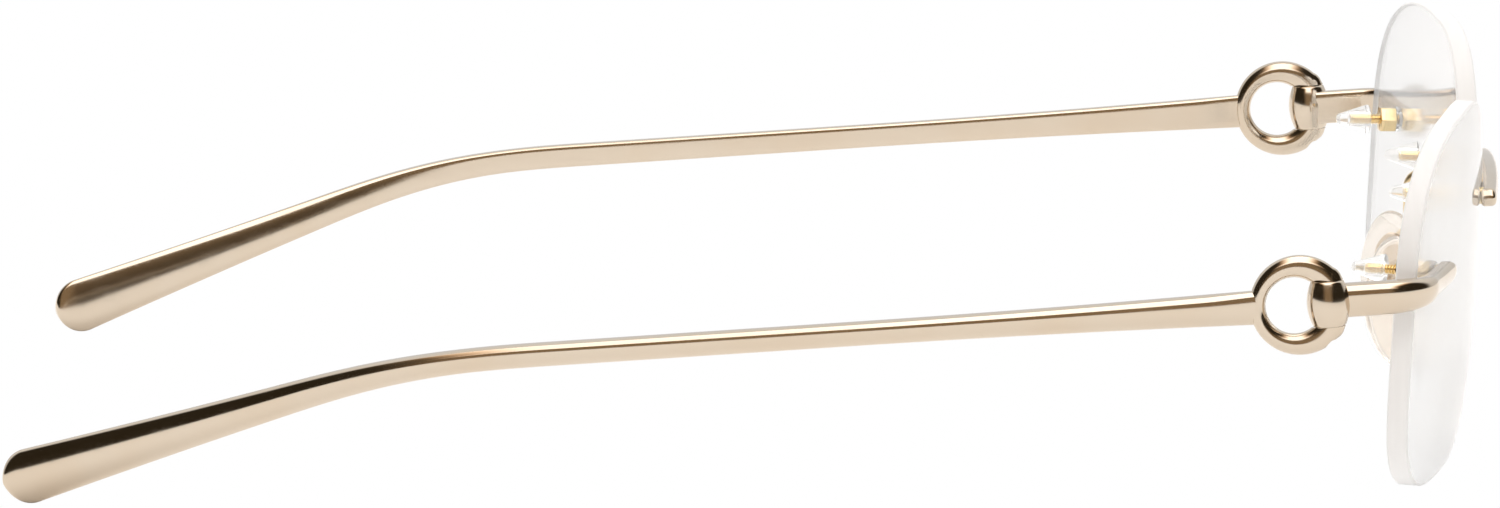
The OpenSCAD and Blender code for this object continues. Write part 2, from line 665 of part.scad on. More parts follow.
stand() cap(inner_stud, inner_stack);  // inner_cap_left
stand() bridge();
stand() right_hand() pad_arm();  // pad_arm_right
stand() pad_arm();  // pad_arm_left
stand() right_hand() pad_screw();  // pad_screw_right
stand() pad_screw();  // pad_screw_left
stand() right_hand() pad_core();  // pad_core_right
stand() pad_core();  // pad_core_left
stand() right_hand() nose_pad();  // nose_pad_right
stand() nose_pad();  // nose_pad_left
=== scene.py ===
"""Rimless eyeglasses with ring hinges: smooth pieces, finishes and a studio over the packed frame."""

import json
from math import asin, atan, atan2, copysign, cos, pi, radians, sin, sqrt, tan
from types import SimpleNamespace

import bmesh
import bpy
from bpy.props import FloatProperty, FloatVectorProperty, PointerProperty
from bpy.types import Operator, Panel, PropertyGroup
from mathutils import Matrix, Vector


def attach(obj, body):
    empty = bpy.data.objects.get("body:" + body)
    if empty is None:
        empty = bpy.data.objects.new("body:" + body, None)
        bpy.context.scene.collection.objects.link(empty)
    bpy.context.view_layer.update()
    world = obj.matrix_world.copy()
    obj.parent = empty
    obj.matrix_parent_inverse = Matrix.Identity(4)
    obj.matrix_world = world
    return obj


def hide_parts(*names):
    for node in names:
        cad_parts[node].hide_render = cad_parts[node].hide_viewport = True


bl_info = {
    "name": "Rimless Eyeglasses",
    "version": (1, 0, 0),
    "blender": (4, 5, 0),
    "location": "3D View > Sidebar > Eyeglasses",
    "description": "Builds the pieces, finishes and studio of rimless eyeglasses over their CAD frame",
    "category": "Object",
}

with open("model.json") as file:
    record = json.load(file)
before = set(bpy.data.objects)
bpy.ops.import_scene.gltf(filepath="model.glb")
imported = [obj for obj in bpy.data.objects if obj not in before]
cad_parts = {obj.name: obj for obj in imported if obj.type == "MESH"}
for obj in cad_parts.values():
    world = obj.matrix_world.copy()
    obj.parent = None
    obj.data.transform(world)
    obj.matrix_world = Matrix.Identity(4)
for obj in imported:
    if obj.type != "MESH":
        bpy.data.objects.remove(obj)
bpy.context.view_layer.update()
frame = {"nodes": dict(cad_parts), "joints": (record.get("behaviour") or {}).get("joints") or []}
# The left hinge, which the right one mirrors, and its millimetres from the middle plane
HINGE = next(j for j in frame["joints"] if j["name"] == "left_temple_fold")
HINGE_X = HINGE["pos_m"][0] * 1000
SIDES = ("left", "right")
# Words that the keys of properties shorten
WORDS = {
    "af": "across flats", "d": "diameter", "dist": "distance", "h": "height", "l": "length", "len": "length",
    "r": "radius", "rough": "roughness", "t": "thickness", "w": "width",
}

# Share of a D section's thickness that is domed
DOME = 0.6
# Half heights above the middle at which a domed face has its crest
CREST = 0.3
# Exponent of the flat inner side's rounded corners
FLATNESS = 1 / 3
# Camber of the inner side at the tip, as a share of its depth
CAMBER = 0.55
# Half heights below the middle at which the camber is nil
CAMBER_LOW = 0.27
# How much sooner than the arm's flare its camber is full
CAMBER_RISE = 1.6
# Exponent of the arm's flare to the tip
FLARE_BEND = 1.55
# How slowly a rounded end loses thickness against height, and the bridge's back
END_FADE = 0.35
BACK_FADE = 0.2
# Exponents of the bridge's rounded front and flat back, and the back's depth against the front's
OVAL = 0.7
BACK_FLATNESS = 0.35
BACK_DEPTH = 1.25
# Share by which a pad is narrower towards its top
EGG_SHARE = 0.12
# Millimetres: rounded edges, the gap between skins that would touch, the clearance round a screw or bush
EDGE = 0.12
HAIR = 0.01
RUN_GAP = 0.03
# Height in metres of the finest marks on a surface
FINE = 0.00002
# Colours of a panel's middle and its faded ends
WHITE = (1, 1, 1)
WARM = (1, 0.6, 0.3)
# Watts that give a square metre of panel a radiance of 1
PANEL_WATTS = 4
# Metres: radius of the floor, and how far it lies below the part
FLOOR_R = 6
FLOOR_DROP = 0.00003


def title(key):
    """The key's words in full, as a name to show."""
    return " ".join(WORDS.get(w, w) for w in key.split("_")).capitalize()


def named(group):
    """Names each of the group's properties after its key."""
    for key, make in group.__annotations__.items():
        group.__annotations__[key] = make(title(key))
    return group


def number(text, value, **more):
    """A number property that waits for its name."""
    return lambda name: FloatProperty(name=name, description=text, default=value, **more)


def vector(text, value, **more):
    """A property of three numbers that waits for its name."""
    return lambda name: FloatVectorProperty(name=name, description=text, default=value, size=3, **more)


def length(text, mm):
    """A length property whose default is given in millimetres."""
    return number(text, mm / 1000, precision=5, unit="LENGTH")


def angle(text, degrees):
    """An angle property whose default is given in degrees."""
    return number(text, radians(degrees), unit="ROTATION")


def colour(text, value):
    """A colour property in linear values."""
    return vector(text, value, subtype="COLOR", min=0, max=1)


@named
class LensSizes(PropertyGroup):
    """Sizes of a lens, and its place against the hinges"""

    width: length("Width of one lens", 55)
    height: length("Height of one lens", 37.2)
    thickness: length("Thickness of a lens", 2.2)
    bevel: length("Width of the bevels on the ground edge", 0.2)
    curve: length("Radius of the front curve", 260)
    gap: length("Gap between the lenses", 17)
    drop: length("Hinge line's height above the middle", 4.65)
    ahead: length("Front's distance ahead of the hinges", 13.9)
    lean: angle("Forward lean when worn", 7)
    wrap: angle("Backward wrap towards the temple", 8.4)
    square_top: number("Squareness of the upper half, 2 is an ellipse", 2.8)
    square_outer: number("Squareness low down towards the temple", 3.6)
    square_inner: number("Squareness low down towards the nose", 2.2)


@named
class HingeSizes(PropertyGroup):
    """Sizes of the ring, the barrel and the hinge screw"""

    eye_d: length("Diameter of the ring's eye", 5.8)
    eye_back: length("Eye's distance behind the hinge axis", 3.5)
    eye_wall: length("Wall between the eye and the arm's end", 0.5)
    ring_d: length("Outer diameter of the ring", 10.3)
    ring_t: length("Thickness of the ring", 2)
    ring_shift: length("Shift of its outside towards the hinge", 0.6)
    barrel_h: length("Height of the barrel", 4.7)
    barrel_d: length("Diameter of the barrel's middle", 4.4)
    barrel_end_d: length("Diameter of the barrel's ends", 3.3)
    knuckle_d: length("Diameter of the knuckles before flattening", 3.1)
    knuckle_h: length("Height of each knuckle", 1.4)
    knuckle_edge: length("Radius of the knuckles' edges", 1.45)
    slot_gap: length("Clearance of the slot round the barrel", 0.3)
    play: length("Gap between the barrel and each knuckle", 0.05)
    screw_d: length("Diameter of the headless screw", 1.2)
    bite: length("Length of thread in the upper knuckle", 1)
    plain: length("Length of the screw's plain end", 0.3)
    slot_w: length("Width of the screw's slot", 0.25)
    slot_h: length("Depth of the screw's slot", 0.4)


@named
class TempleSizes(PropertyGroup):
    """Sizes of a temple's arm"""

    length: length("Length along the curve from the hinge", 140)
    root_h: length("Height of the arm at the hinge", 3.9)
    mid_h: length("Height of the slim middle", 2.45)
    tip_h: length("Height of the tip", 5.7)
    thickness: length("Thickness of the arm", 2.2)
    root_t: length("Thickness at the ring", 1.6)
    root_len: length("Length over which the arm thickens", 6)
    taper_len: length("Length of the taper from the hinge", 50)
    flare_len: length("Length of the widening to the tip", 52)
    bend_dist: length("Bend's distance from the hinge", 79)
    bend_len: length("Length of the bend", 30)
    bend_down: angle("Downward angle of the bend", 14.8)
    bend_in: angle("Inward angle of the bend", 16.6)


@named
class EndPieceSizes(PropertyGroup):
    """Sizes of an end piece's bar and foot"""

    bar_h: length("Height of the bar", 3.5)
    bar_t: length("Thickness of the bar", 2.4)
    inset: length("Bar's distance inside the hinge axis", 1)
    bend_r: length("Radius of the bend round the lens edge", 4.8)
    foot_h: length("Height of the foot's end", 2.4)
    foot_t: length("Thickness of the foot's end", 1.7)
    foot_over: length("Length of foot past the stud's axis", 1.5)


@named
class BridgeSizes(PropertyGroup):
    """Sizes of the bridge bar"""

    height: length("Height of the bar", 1.9)
    depth: length("Depth of the bar from front to back", 1.5)
    over: length("Length past each stud's axis", 1.5)
    bow: length("Forward bow of the middle", 0.4)
    arch: length("Upward arch of the middle", 0.5)


@named
class FixingSizes(PropertyGroup):
    """Sizes and places of the studs, bushes, nuts and caps"""

    outer_in: length("Outer studs' distance from the lens edge", 10.9)
    outer_up: length("Outer studs' height above the hinges", 0)
    inner_in: length("Inner studs' distance from the lens edge", 4.5)
    inner_up: length("Inner studs' height above the hinges", 1.5)
    stud_d: length("Outer diameter of the thread", 1.2)
    thread_h: length("Depth of the thread", 0.17)
    pitch: length("Pitch of the thread", 0.3)
    stud_past: length("Length of thread past the nut", 3.3)
    shoulder_d: length("Diameter of a stud's shoulder", 1.8)
    shoulder_h: length("Height of a stud's shoulder", 0.35)
    spot_h: length("Depth of the shoulder's seat", 0.15)
    spigot_d: length("Diameter of the spigot", 1)
    spigot_l: length("Length of the spigot", 0.7)
    bush_d: length("Outer diameter of a bush's sleeve", 1.55)
    flange_d: length("Diameter of a bush's flange", 2.7)
    flange_t: length("Thickness of a bush's flange", 0.3)
    nut_af: length("Width of a nut across its flats", 2.5)
    nut_h: length("Length of a nut", 1.7)
    cap_gap: length("Bare thread between a nut and its cap", 1.2)
    cap_l: length("Length of a cap", 3.6)
    cap_d: length("Diameter of a cap's open end", 3.1)
    cap_tip_d: length("Diameter of a cap's rounded tip", 1.3)


@named
class PadSizes(PropertyGroup):
    """Sizes and places of the nose pads, their arms and screws"""

    height: length("Height of a pad", 14.2)
    width: length("Width of a pad", 7.8)
    thickness: length("Thickness of a pad's middle", 2.6)
    rim_t: length("Thickness of a pad's rim", 1.2)
    out: length("Backs' distance from the middle plane", 11)
    ahead: length("Pads' distance ahead of the hinges", 8.1)
    drop: length("Pads' distance below the hinges", 9.5)
    splay: angle("Backward opening of the pads", 25)
    flare: angle("Downward opening of the pads", 16)
    lean: angle("Forward lean of a pad's top", 5.5)
    core_up: length("Screw's height above the pad's middle", 1.6)
    tab_w: length("Width of the core's tab", 1.9)
    tab_t: length("Thickness of the core's tab", 1)
    tab_l: length("Screw's distance behind the pad", 1.6)
    box_wall: length("Thickness of the box's cheeks and floor", 0.5)
    box_play: length("Side play of the tab in the box", 0.08)
    screw_d: length("Diameter of the pad screw", 0.9)
    head_d: length("Diameter of the screw's head", 1.4)
    head_h: length("Height of the screw's head", 0.35)
    slot_w: length("Width of the screw's slot", 0.22)
    slot_h: length("Depth of the screw's slot", 0.18)
    wire_d: length("Diameter of the arm's wire", 1)
    eyelet_d: length("Diameter of the arm's eyelet", 2.9)
    eyelet_t: length("Thickness of the eyelet", 0.6)
    eyelet_end_d: length("Diameter of the eyelet's end", 1.5)
    reach: length("Wire's distance from the stud's axis", 2.3)
    fall: angle("Angle of the wire below the stud", 35)
    swing: length("Length of wire before it turns down", 4.4)
    bend_r: length("Radius of the wire's bend", 1.6)


@named
class Finishes(PropertyGroup):
    """Colours and polish"""

    gold: colour("Colour of the polished plating", (0.65, 0.56, 0.452))
    gold_deep: colour("Colour of the plating in patches", (0.635, 0.53, 0.41))
    brass: colour("Colour of the studs and nuts", (0.82, 0.65, 0.38))
    gold_rough: number("Roughness of the polished plating", 0.12)
    satin_rough: number("Roughness of the pad arms", 0.35)
    lens: colour("Tint of the lens", (0.95, 0.95, 0.95))
    edge: colour("Colour of the lens's ground edge", (0.94, 0.938, 0.935))
    clear: colour("Tint of the caps and bushes", (0.99, 0.985, 0.975))
    pad: colour("Tint of the nose pads", (1, 0.95, 0.89))
    floor: colour("Colour of the studio floor", (0.93, 0.93, 0.93))


@named
class StudioSettings(PropertyGroup):
    """Camera and light"""

    elevation: angle("Camera's height above the horizon", 9.04)
    turn: angle("Camera's turn from straight sideways", 0.852)
    roll: angle("Roll of the camera", -0.33)
    lens: number("Focal length of the camera", 463.06, unit="CAMERA")
    distance: length("Camera's distance from its target", 2035)
    target: vector("Point that the camera looks at", (0, 0.00128, 0.01693), subtype="TRANSLATION")
    panel: number("Brightness of the two soft panels", 1.6)
    panel_width: length("Width of the two soft panels", 620)
    panel_low: length("Height of the upright panel's lower edge", 330)
    panel_high: length("Height of the overhead panel", 560)
    panel_near: length("Distance of the upright panel", 430)
    panel_past: length("Length of the overhead panel past the middle", 200)
    panel_ahead: length("Panels' distance ahead of the middle", 60)
    wall: number("Brightness of the far wall, high up", 0.95)
    wall_low: number("Brightness of the far wall, low down", 0.75)
    side: colour("Room light beside the panels", (0.032, 0.024, 0.014))
    under: colour("Room light under the upright panel", (0.30, 0.21, 0.125))
    fill: number("Brightness of the soft fill overhead", 0.72)
    fill_high: length("Height of the fill", 3000)
    fill_width: length("Width of the fill each way", 12000)
    glow: number("Light that the floor gives by itself", 0.1)


GROUPS = {
    "lens": LensSizes, "hinge": HingeSizes, "temple": TempleSizes, "end_piece": EndPieceSizes,
    "bridge": BridgeSizes, "fixing": FixingSizes, "pad": PadSizes, "finish": Finishes,
    "studio": StudioSettings,
}


class EyeglassSettings(PropertyGroup):
    """All settings, by group"""

    __annotations__ = {
        key: PointerProperty(name=title(key), description=group.__doc__, type=group)
        for key, group in GROUPS.items()
    }


def units(group):
    """Keys of the group's own properties, with the unit of each."""
    return {key: group.bl_rna.properties[key].unit for key in group.__annotations__}


def sizes(context):
    """The sizes by group, with lengths in millimetres."""
    made, times = SimpleNamespace(), {"LENGTH": 1000}
    for name in GROUPS:
        group = getattr(context.scene.eyeglasses, name)
        values = {k: getattr(group, k) * times.get(unit, 1) for k, unit in units(group).items()}
        setattr(made, name, SimpleNamespace(**values))
    return made


def ease(x):
    """Smooth step from 0 to 1."""
    c = min(max(x, 0), 1)
    return c * c * (3 - 2 * c)


def power(x, e):
    """x to the power e with its sign kept."""
    return copysign(abs(x) ** e, x)


def quarter(steps, first=0):
    """Angles of a quarter turn in equal steps."""
    return [pi / 2 * i / steps for i in range(first, steps + 1)]


def round_end(s, end, r):
    """Share of the full height at s, on a bar whose end is rounded by that radius."""
    return sqrt(max(1 - (max(s - (end - r), 0) / r) ** 2, 0))


def moved(x=0, y=0, z=0):
    """A shift."""
    return Matrix.Translation((x, y, z))


def about(axis, turn):
    """A turn about an axis."""
    return Matrix.Rotation(turn, 4, axis)


def stand():
    """From the worn position in millimetres, hinges upright at Y = 0, to the resting one in metres."""
    at, axis = Vector(HINGE["pos_m"]), Vector(HINGE["axis"])
    tilt = atan2(axis.y, axis.z)
    return moved(0, at.y, at.z) @ about("X", -tilt) @ Matrix.Scale(0.001, 4)


def lens_frame(g):
    """From the middle of a lens's front curve, x across, y up and z forward, to the worn position."""
    at = moved(g.lens.gap / 2 + g.lens.width / 2, -g.lens.ahead, -g.lens.drop)
    turned = about("Z", g.lens.wrap) @ about("X", g.lens.lean)
    return at @ turned @ about("X", pi / 2)


def stud_places(g):
    """Places of the outer and inner stud on the lens."""
    return {
        "outer": (g.lens.width / 2 - g.fixing.outer_in, g.lens.drop + g.fixing.outer_up),
        "inner": (g.fixing.inner_in - g.lens.width / 2, g.lens.drop + g.fixing.inner_up),
    }


def stud_frame(g, which, across=0, up=0):
    """Axis of a stud, or of a point that far from it: z = 0 on the lens front, +z forwards."""
    x, y = stud_places(g)[which]
    r = g.lens.curve
    rise = asin((y + up) / r)
    turned = about("Y", asin((x + across) / (r * cos(rise)))) @ about("X", -rise)
    return lens_frame(g) @ moved(z=-r) @ turned @ moved(z=r)


def stacks(g):
    """Depth behind the lens front at which each nut starts."""
    outer = g.lens.thickness + g.fixing.flange_t + HAIR
    return {"outer": outer, "inner": outer + g.pad.eyelet_t}


def pad_frame(g):
    """From the middle of a pad's back, x forwards, y up and z towards the nose, to the worn position."""
    at = moved(g.pad.out, -g.pad.ahead, -g.pad.drop)
    turned = about("Z", -g.pad.splay) @ about("Y", -g.pad.flare)
    upright = about("Z", -pi / 2) @ about("X", pi / 2)
    return at @ turned @ upright @ about("Z", -g.pad.lean)


def box_frame(g):
    """Middle of the pad box, on the pad screw's axis, in pad directions."""
    return pad_frame(g) @ moved(0, g.pad.core_up, -g.pad.tab_l)


def close(bm, dist=1e-4):
    """Merges doubles, drops flat faces, fills holes and turns the faces outwards."""
    bmesh.ops.remove_doubles(bm, verts=bm.verts, dist=dist)
    bmesh.ops.dissolve_degenerate(bm, edges=bm.edges, dist=dist)
    bmesh.ops.holes_fill(bm, edges=[e for e in bm.edges if e.is_boundary])
    bmesh.ops.recalc_face_normals(bm, faces=bm.faces)
    return bm


def skin(around, lengthwise, place):
    """Wraps a grid into a closed skin: place(turn, step) is its point at an angle round and a step along."""
    bm = bmesh.new()
    grid = bmesh.ops.create_grid(bm, x_segments=around, y_segments=lengthwise, size=1)["verts"]
    for v in grid:
        v.co = place((v.co.x + 1) * pi, round((v.co.y + 1) / 2 * lengthwise))
    return close(bm)


def spin(profile, steps, loop=False, climb=0):
    """Spins (radius, height) points one turn round Z, climbing all the while if asked to."""
    bm = bmesh.new()
    verts = [bm.verts.new((r, 0, z)) for r, z in profile]
    edges = [bm.edges.new(pair) for pair in zip(verts, verts[1:] + verts[:1] * loop)]
    bmesh.ops.spin(
        bm, geom=verts + edges, cent=(0, 0, 0), axis=(0, 0, 1), dvec=(0, 0, climb / steps), angle=2 * pi,
        steps=steps, use_merge=not climb, use_duplicate=False,
    )
    return bm


def lathe(profile, steps=48, loop=False):
    """Turned solid of (radius, height) points, from one end on the axis to the other or as a closed loop."""
    return close(spin(profile, steps, loop))


def add(bm, other):
    """Adds the other mesh's shells to bm and frees it."""
    mesh = bpy.data.meshes.new("shell")
    other.to_mesh(mesh)
    bm.from_mesh(mesh)
    bpy.data.meshes.remove(mesh)
    other.free()
    return bm


def show(name, data):
    """Puts data into the scene as an object."""
    obj = bpy.data.objects.new(name, data)
    bpy.context.scene.collection.objects.link(obj)
    return obj


def make_object(name, bm, *finishes):
    """Makes a mesh an object in the scene and frees it."""
    mesh = bpy.data.meshes.new(name)
    bm.to_mesh(mesh)
    bm.free()
    for finish in finishes:
        mesh.materials.append(finish)
    return show(name, mesh)


def combine(bm, other, operation):
    """Joins or cuts two closed meshes, with a sharp line where they meet, and frees both."""
    for source in (bm, other):
        for f in source.faces:
            f.material_index = int(source is other)
    objects = [make_object("solid", source) for source in (bm, other)]
    modifier = objects[0].modifiers.new("combine", "BOOLEAN")
    modifier.operation, modifier.solver, modifier.object = operation, "EXACT", objects[1]
    made = bmesh.new()
    made.from_object(objects[0], bpy.context.evaluated_depsgraph_get())
    close(made, 0.002)
    for e in made.edges:
        e.smooth = len({f.material_index for f in e.link_faces}) == 1
    for o in objects:
        bpy.data.meshes.remove(o.data)
    return made


def hull(bm):
    """Closed hull round everything in bm, with its flat sides in one face each."""
    bmesh.ops.delete(bm, geom=bm.edges, context="EDGES_FACES")
    bmesh.ops.convex_hull(bm, input=bm.verts)
    bmesh.ops.delete(bm, geom=[v for v in bm.verts if not v.link_faces], context="VERTS")
    bmesh.ops.dissolve_limit(bm, angle_limit=radians(1), verts=bm.verts, edges=bm.edges)
    return close(bm)


def round_edges(bm):
    """Rounds every edge that turns by more than 40 degrees."""
    sharp = [e for e in bm.edges if e.calc_face_angle(0) > radians(40)]
    bmesh.ops.bevel(
        bm, geom=sharp, offset=EDGE, offset_type="OFFSET", affect="EDGES", segments=2, profile=0.5,
        material=-1, clamp_overlap=True,
    )
    return bm


def cylinder(bm, diameter, depth, matrix, segments=40):
    """Adds a capped cylinder along Z about the matrix's middle."""
    r = diameter / 2
    bmesh.ops.create_cone(
        bm, cap_ends=True, segments=segments, radius1=r, radius2=r, depth=depth, matrix=matrix,
    )
    return bm


def block(bm, size, z):
    """Adds a box of that size, with its middle at that height on Z."""
    bmesh.ops.create_cube(bm, size=1, matrix=moved(z=z) @ Matrix.Diagonal((*size, 1)))
    return bm


def put(bm, matrix):
    """Moves a mesh."""
    bm.transform(matrix)
    return bm


def finish_piece(name, node, bm, finishes, body="front", slot="pale_gold", sharp=35):
    """Makes a mesh in the worn position an object that rides on a body and stands for a CAD node."""
    bm.transform(stand())
    for f in bm.faces:
        f.smooth = True
        f.material_index = min(f.material_index, len(finishes) - 1)
    for e in bm.edges:
        e.smooth = e.smooth and e.calc_face_angle(0) < radians(sharp)
    obj = make_object(name, bm, *finishes)
    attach(obj, body)
    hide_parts(node)
    return obj


def finish_side(kind, side, bm, *finishes, **rest):
    """Finishes a left-hand mesh for its side."""
    if side == "right":
        bm.transform(Matrix.Scale(-1, 4, (1, 0, 0)))
        bmesh.ops.reverse_faces(bm, faces=bm.faces)
    return finish_piece(f"{side}_{kind}", f"{kind}_{side}", bm, finishes, **rest)


class Flow:
    """A socket of a node tree: arithmetic on it adds Math nodes, and node() adds any other node."""

    def __init__(self, tree, socket=None):
        self.tree, self.socket = tree, socket

    def feed(self, node, inputs):
        """Links flows to the node's inputs and sets plain values on them."""
        for key, value in inputs.items():
            if isinstance(value, Flow):
                self.tree.links.new(value.socket, node.inputs[key])
            else:
                node.inputs[key].default_value = value

    def found(self, kind):
        """The tree's first node of that type."""
        return next(n for n in self.tree.nodes if n.type == kind)

    def node(self, kind, inputs=None, out=0, **settings):
        """Adds a node with those settings and inputs, and returns one of its outputs."""
        new = self.tree.nodes.new(kind)
        for key, value in settings.items():
            setattr(new, key, value)
        self.feed(new, inputs or {})
        return Flow(self.tree, new.outputs[out])

    def math(self, operation, *values):
        """A Math node on the values."""
        return self.node("ShaderNodeMath", dict(enumerate(values)), operation=operation)

    def __add__(self, other):
        return self.math("ADD", self, other)

    __radd__ = __add__

    def __rsub__(self, other):
        return self.math("SUBTRACT", other, self)

    def __mul__(self, other):
        return self.math("MULTIPLY", self, other)

    def step(self, low, high):
        """Smooth step of this value from low to high."""
        inputs = {"Value": self, "From Min": low, "From Max": high}
        return self.node("ShaderNodeMapRange", inputs, interpolation_type="SMOOTHSTEP")

    def mix(self, first, second):
        """Colour between first, where this value is 0, and second, where it is 1."""
        ends = [c if isinstance(c, Flow) else (*c, 1) for c in (first, second)]
        return self.node("ShaderNodeMix", {0: self, 6: ends[0], 7: ends[1]}, out=2, data_type="RGBA")


def start_material(name):
    """A new material with one Principled shader, its Flow, and its Object coordinates."""
    material = bpy.data.materials.new(name)
    material.use_nodes = True
    flow = Flow(material.node_tree)
    return material, flow.found("BSDF_PRINCIPLED"), flow, flow.node("ShaderNodeTexCoord", out=3)


def noise(flow, place, scale, detail=2, stretch=None):
    """Noise from 0 to 1 with that many features to the metre, stretched if asked to."""
    if stretch:
        place = flow.node("ShaderNodeMapping", {"Vector": place, "Scale": stretch})
    return flow.node("ShaderNodeTexNoise", {"Vector": place, "Scale": scale, "Detail": detail})


def straight_ray(flow):
    """1 for rays from the camera or through a clear piece, 0 for reflections."""
    seen = flow.node("ShaderNodeLightPath", out="Is Camera Ray")
    return seen.math("MAXIMUM", seen, flow.node("ShaderNodeLightPath", out="Is Transmission Ray"))


def bump(flow, height, strength, distance):
    """Normals of an uneven surface."""
    return flow.node("ShaderNodeBump", {"Height": height, "Strength": strength, "Distance": distance})


def darker(tint, share=0.985):
    """That share of the tint."""
    return tuple(share * c for c in tint)


def polished_gold(name, tint, deep, rough):
    """Polished gold plating, a little deeper in patches, with fine polishing lines."""
    material, shader, flow, place = start_material(name)
    patches = noise(flow, place, 90, 3)
    lines = noise(flow, place, 900, stretch=(1, 0.05, 1))
    flow.feed(shader, {
        "Base Color": patches.step(0.35, 0.8).mix(tint, deep),
        "Metallic": 1,
        "Roughness": rough + lines.step(0.45, 0.75) * 0.05 + patches * 0.02,
        "Normal": bump(flow, lines, 0.03, FINE),
    })
    return material


def clear_solid(name, tint, ior, grain, clear, painted_glow):
    """A clear solid with faint clouding, some haze, a slightly uneven surface and a painted glow: a faint
    light of its own tint that brightens it as if lit.
    """
    material, shader, flow, place = start_material(name)
    cloud, rough = noise(flow, place, grain, 3), 0.15
    flow.feed(shader, {
        "Base Color": cloud.step(0.3, 0.8).mix(tint, darker(tint)),
        "Roughness": cloud.step(0.55, 0.85) * rough + rough * 0.4,
        "IOR": ior,
        "Transmission Weight": clear,
        # Painted glow: the solid gives off a faint light of its own tint, brightening it as a lamp would
        "Emission Color": (*tint, 1),
        "Emission Strength": painted_glow,
        "Normal": bump(flow, cloud, 0.02, FINE),
    })
    return material


def ground_edge(name, tint):
    """The lens's ground edge: frosted, with fine grinding lines along it."""
    material, shader, flow, place = start_material(name)
    lines = noise(flow, place, 1400, stretch=(0.06, 1, 0.06))
    flow.feed(shader, {
        "Base Color": lines.step(0.2, 0.8).mix(tint, darker(tint, 0.97)),
        "Roughness": 0.45 + lines * 0.2,
        "IOR": 1.5,
        "Transmission Weight": 0.05,
        "Normal": bump(flow, lines, 0.1, 2 * FINE),
    })
    return material


def materials(context):
    """The finishes by name, each made once."""
    f = context.scene.eyeglasses.finish
    makers = {
        "polished pale gold": (polished_gold, f.gold, f.gold_deep, f.gold_rough),
        "polished yellow gold": (polished_gold, f.brass, darker(f.brass), f.gold_rough),
        "satin gold": (polished_gold, f.brass, f.gold, f.satin_rough),
        # The last number of each clear finish is the strength of its painted glow
        "clear lens": (clear_solid, f.lens, 1.5, 60, 0.82, 0),
        "ground lens edge": (ground_edge, f.edge),
        "clear plastic": (clear_solid, f.clear, 1.35, 600, 0.85, 0.03),
        "clear pad": (clear_solid, f.pad, 1.36, 400, 0.8, 0.04),
    }
    return {n: bpy.data.materials.get(n) or make(n, *values) for n, (make, *values) in makers.items()}


def d_point(turn, h, t, camber=0):
    """Point of a D section: domed outwards, and inwards flat or cambered."""
    c, s = cos(turn), sin(turn)
    if c >= 0:
        return DOME * t * c, h / 2 * (s + CREST * (1 - camber) * c * c)
    up = power(s, FLATNESS)
    fall = ((up + CAMBER_LOW) / (1 + CAMBER_LOW)) ** 2
    return -(1 - DOME) * t * (-c) ** FLATNESS * (1 - camber * fall), h / 2 * up


def d_skin(around, stations):
    """Skin of a D-section bar through stations: a matrix, then height, thickness and any inner camber."""

    def place(turn, step):
        matrix, *section = stations[step]
        o, z = d_point(turn, *section)
        return matrix @ Vector((o, 0, z))

    return skin(around, len(stations) - 1, place)


def arm_stations(g):
    """Stations of the arm, from the ring to its rounded tip."""
    tp, hg = g.temple, g.hinge
    start = hg.eye_back + hg.eye_d / 2 + hg.eye_wall
    tip_r, body = tp.tip_h / 2, 130
    stops = [start + (tp.length - tip_r - start) * i / body for i in range(body)]
    stops += [tp.length - tip_r * (1 - sin(a)) for a in quarter(16)]
    at, last, made = Vector((HINGE_X, start, 0)), start, []

    def turned(s):
        t = ease((s - tp.bend_dist) / tp.bend_len)
        return about("Z", tp.bend_in * t) @ about("X", -tp.bend_down * t)

    for s in stops:
        at = at + (s - last) * (turned((s + last) / 2) @ Vector((0, 1, 0)))
        last = s
        h = tp.mid_h + (tp.root_h - tp.mid_h) * max(1 - s / tp.taper_len, 0) ** 2
        flare = min(max((s - tp.length + tp.flare_len) / (tp.flare_len - tip_r), 0), 1)
        h += (tp.tip_h - tp.mid_h) * flare ** FLARE_BEND
        t = tp.root_t + (tp.thickness - tp.root_t) * ease((s - start) / tp.root_len)
        k = round_end(s, tp.length, tip_r)
        camber = CAMBER * ease(flare * CAMBER_RISE)
        made.append((moved(*at) @ turned(s), h * k, t * k ** END_FADE, camber))
    return made


def ring_skin(g):
    """The ring: a round bar bent round the eye, wider towards the hinge."""
    hg = g.hinge
    eye, outer, shift = hg.eye_d / 2, hg.ring_d / 2, hg.ring_shift
    steps = 128

    def place(turn, step):
        a = 2 * pi * step / steps
        rim = sqrt(outer ** 2 - (shift * sin(a)) ** 2) - shift * cos(a)
        r = (eye + rim) / 2 + (rim - eye) / 2 * cos(turn)
        x = HINGE_X + hg.ring_t / 2 * sin(turn)
        return Vector((x, hg.eye_back + r * cos(a), r * sin(a)))

    return skin(40, steps, place)


def knuckles(g):
    """The post of both knuckles, with rounded outer edges, before the slot is cut."""
    hg = g.hinge
    top, r, edge = hg.barrel_h / 2 + hg.play + hg.knuckle_h, hg.knuckle_d / 2, hg.knuckle_edge
    corner = [(r - edge * (1 - sin(a)), top - edge * (1 - cos(a))) for a in quarter(6)]
    profile = [(0, top)] + corner + [(x, -z) for x, z in reversed(corner)] + [(0, -top)]
    return lathe(profile, 64)


